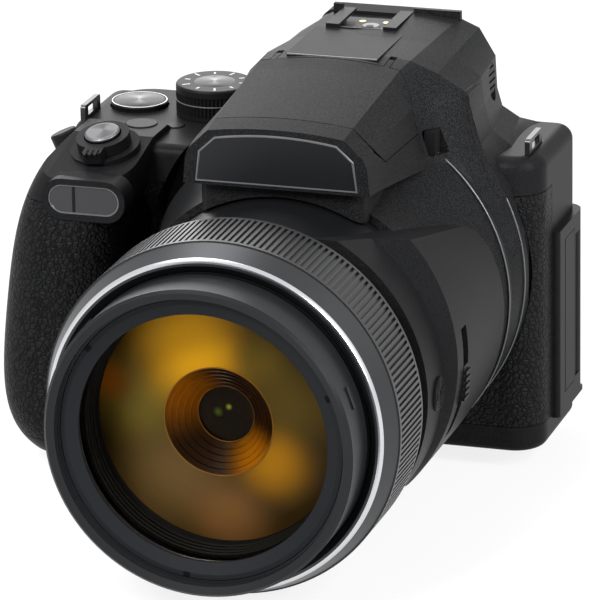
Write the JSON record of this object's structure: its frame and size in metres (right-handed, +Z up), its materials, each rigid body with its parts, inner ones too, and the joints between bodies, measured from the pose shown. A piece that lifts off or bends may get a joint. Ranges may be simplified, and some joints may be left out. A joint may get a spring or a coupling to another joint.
{
  "type": "bridge camera",
  "caption": "Bridge camera with a telescoping zoom lens, ribbed ring, pop-up flash lid, hot shoe, grip, dials, buttons and a side-hinged screen.",
  "frame": {"origin": "mouth of the tripod socket, on the base plane below the lens axis", "axes": "-Y is where the lens looks, +Z is up, +X is away from the hand grip"},
  "size_m": [0.1464, 0.1813, 0.1188],
  "materials": {
    "body_plastic": "matte",
    "rubber": "matte",
    "lens_black": "satin",
    "trim_silver": "satin",
    "glass_coated": "polished",
    "clear_window": "polished",
    "gloss_black": "gloss",
    "control_black": "satin",
    "dial_metal": "satin",
    "steel": "satin",
    "circuit": "satin",
    "cell_grey": "satin"
  },
  "bodies": {
    "camera_body": {"chassis": "steel", "front_cover": "body_plastic", "lens_shroud": "body_plastic", "rear_cover": "body_plastic", "top_cover": "body_plastic", "base_plate": "body_plastic", "flash_housing": "body_plastic", "grip_rubber": "rubber", "side_rubber": "rubber", "fixed_barrel": "lens_black", "trim_ring": "trim_silver", "control_pod": "body_plastic", "aperture_unit": "lens_black", "name_plate": "gloss_black", "hot_shoe": "steel", "evf_module": "lens_black", "eyepiece_lens": "glass_coated", "eyecup": "rubber", "lamp_window": "clear_window", "strap_lugs": "steel", "tripod_socket": "steel", "sensor_unit": "circuit", "main_board": "circuit", "zoom_motor": "steel", "flash_capacitor": "cell_grey", "battery": "cell_grey"},
    "ribbed_ring": {"control_ring": "rubber"},
    "zoom_rear": {"zoom_barrel_rear": "lens_black"},
    "zoom_front": {"zoom_barrel_front": "lens_black", "retaining_ring": "lens_black", "front_lens": "glass_coated", "inner_lens": "glass_coated"},
    "cam": {"cam_ring": "lens_black"},
    "focus": {"focus_group": "lens_black"},
    "snap_key": {"snap_back_button": "control_black"},
    "pod_slider": {"side_zoom_slider": "control_black"},
    "lid": {"flash_lid": "body_plastic", "flash_head": "lens_black"},
    "flash_key": {"flash_button": "control_black"},
    "shutter_key": {"shutter_button": "dial_metal"},
    "lever": {"zoom_lever": "control_black"},
    "power_key": {"power_button": "control_black"},
    "movie_key": {"movie_button": "control_black"},
    "function_key": {"function_button": "control_black"},
    "mode_knob": {"mode_dial": "dial_metal"},
    "command_knob": {"command_dial": "dial_metal"},
    "diopter": {"diopter_knob": "control_black"},
    "selector": {"selector_dial": "control_black"},
    "ok_key": {"ok_button": "control_black"},
    "play_key": {"play_button": "control_black"},
    "menu_key": {"menu_button": "control_black"},
    "delete_key": {"delete_button": "control_black"},
    "display_key": {"display_button": "control_black"},
    "focus_lever": {"focus_mode_lever": "control_black"},
    "af_key": {"af_lock_button": "control_black"},
    "screen": {"lcd_arm": "body_plastic", "lcd_screen": "body_plastic", "lcd_glass": "gloss_black"},
    "flap": {"connector_cover": "body_plastic"},
    "door": {"battery_door": "body_plastic"}
  },
  "joints": [
    {"name": "ribbed_ring_turn", "type": "hinge", "parent": "camera_body", "child": "ribbed_ring", "pos_m": [0, -0.1095, 0.0433], "axis": [0, 1, 0], "continuous": true},
    {"name": "zoom_rear_slide", "type": "slide", "parent": "camera_body", "child": "zoom_rear", "axis": [0, -1, 0], "range_m": [0, 0.048]},
    {"name": "zoom_front_slide", "type": "slide", "parent": "zoom_rear", "child": "zoom_front", "axis": [0, -1, 0], "range_m": [0, 0.048]},
    {"name": "cam_turn", "type": "hinge", "parent": "camera_body", "child": "cam", "pos_m": [0, -0.07, 0.0433], "axis": [0, 1, 0], "range_deg": [0, 121]},
    {"name": "focus_slide", "type": "slide", "parent": "camera_body", "child": "focus", "axis": [0, -1, 0], "range_m": [0, 0.008]},
    {"name": "snap_back_press", "type": "slide", "parent": "camera_body", "child": "snap_key", "axis": [-0.9996, 0, 0.0279], "range_m": [0, 0.0008], "stiffness_N_per_m": 900},
    {"name": "side_zoom_rock", "type": "hinge", "parent": "camera_body", "child": "pod_slider", "pos_m": [0, -0.0674, 0.0433], "axis": [0, 1, 0], "range_deg": [-4, 4], "stiffness_Nm_per_rad": 1.2},
    {"name": "lid_hinge", "type": "hinge", "parent": "camera_body", "child": "lid", "pos_m": [0, -0.0177, 0.1086], "axis": [-1, 0, 0], "range_deg": [0, 45]},
    {"name": "flash_press", "type": "slide", "parent": "camera_body", "child": "flash_key", "axis": [-1, 0, 0], "range_m": [0, 0.0007], "stiffness_N_per_m": 900},
    {"name": "shutter_press", "type": "slide", "parent": "camera_body", "child": "shutter_key", "axis": [0.0872, 0.2427, -0.9662], "range_m": [0, 0.0009], "stiffness_N_per_m": 900},
    {"name": "zoom_lever_turn", "type": "hinge", "parent": "camera_body", "child": "lever", "pos_m": [-0.062, -0.0295, 0.084], "axis": [-0.0872, -0.2427, 0.9662], "range_deg": [-22, 22], "stiffness_Nm_per_rad": 0.05},
    {"name": "power_press", "type": "slide", "parent": "camera_body", "child": "power_key", "axis": [0, 0, -1], "range_m": [0, 0.0007], "stiffness_N_per_m": 900},
    {"name": "movie_press", "type": "slide", "parent": "camera_body", "child": "movie_key", "axis": [0, 0, -1], "range_m": [0, 0.0007], "stiffness_N_per_m": 900},
    {"name": "function_press", "type": "slide", "parent": "camera_body", "child": "function_key", "axis": [0.4067, 0, -0.9135], "range_m": [0, 0.0007], "stiffness_N_per_m": 900},
    {"name": "mode_turn", "type": "hinge", "parent": "camera_body", "child": "mode_knob", "pos_m": [-0.0438, 0.0104, 0.088], "axis": [0, 0, 1], "continuous": true},
    {"name": "command_turn", "type": "hinge", "parent": "camera_body", "child": "command_knob", "pos_m": [-0.0665, 0.012, 0.084], "axis": [0, 0, 1], "continuous": true},
    {"name": "diopter_turn", "type": "hinge", "parent": "camera_body", "child": "diopter", "pos_m": [0.0325, 0.016, 0.097], "axis": [1, 0, 0], "range_deg": [-120, 120]},
    {"name": "selector_turn", "type": "hinge", "parent": "camera_body", "child": "selector", "pos_m": [-0.05, 0.0288, 0.036], "axis": [0, 1, 0], "continuous": true},
    {"name": "ok_press", "type": "slide", "parent": "camera_body", "child": "ok_key", "axis": [0, -1, 0], "range_m": [0, 0.0007], "stiffness_N_per_m": 900},
    {"name": "play_press", "type": "slide", "parent": "camera_body", "child": "play_key", "axis": [0, -1, 0], "range_m": [0, 0.0007], "stiffness_N_per_m": 900},
    {"name": "menu_press", "type": "slide", "parent": "camera_body", "child": "menu_key", "axis": [0, -1, 0], "range_m": [0, 0.0007], "stiffness_N_per_m": 900},
    {"name": "delete_press", "type": "slide", "parent": "camera_body", "child": "delete_key", "axis": [0, -1, 0], "range_m": [0, 0.0007], "stiffness_N_per_m": 900},
    {"name": "display_press", "type": "slide", "parent": "camera_body", "child": "display_key", "axis": [0, -1, 0], "range_m": [0, 0.0007], "stiffness_N_per_m": 900},
    {"name": "focus_mode_turn", "type": "hinge", "parent": "camera_body", "child": "focus_lever", "pos_m": [-0.06, 0.0288, 0.0635], "axis": [0, 1, 0], "range_deg": [-30, 30]},
    {"name": "af_lock_press", "type": "slide", "parent": "camera_body", "child": "af_key", "axis": [0, -1, 0], "range_m": [0, 0.0007], "stiffness_N_per_m": 900},
    {"name": "screen_swing", "type": "hinge", "parent": "camera_body", "child": "screen", "pos_m": [0.0523, 0.0242, 0.034], "axis": [0, 0, -1], "range_deg": [0, 180]},
    {"name": "flap_swing", "type": "hinge", "parent": "camera_body", "child": "flap", "pos_m": [0.0562, 0.009, 0.034], "axis": [0, 0, -1], "range_deg": [0, 95]},
    {"name": "door_swing", "type": "hinge", "parent": "camera_body", "child": "door", "pos_m": [-0.0654, -0.0262, 0.0012], "axis": [0, -1, 0], "range_deg": [0, 95]}
  ],
  "couplings": [
    {"joint": "zoom_front_slide", "follows": "zoom_rear_slide", "ratio": 1},
    {"joint": "cam_turn", "follows": "zoom_rear_slide", "rad_per_m": 43.633}
  ]
}
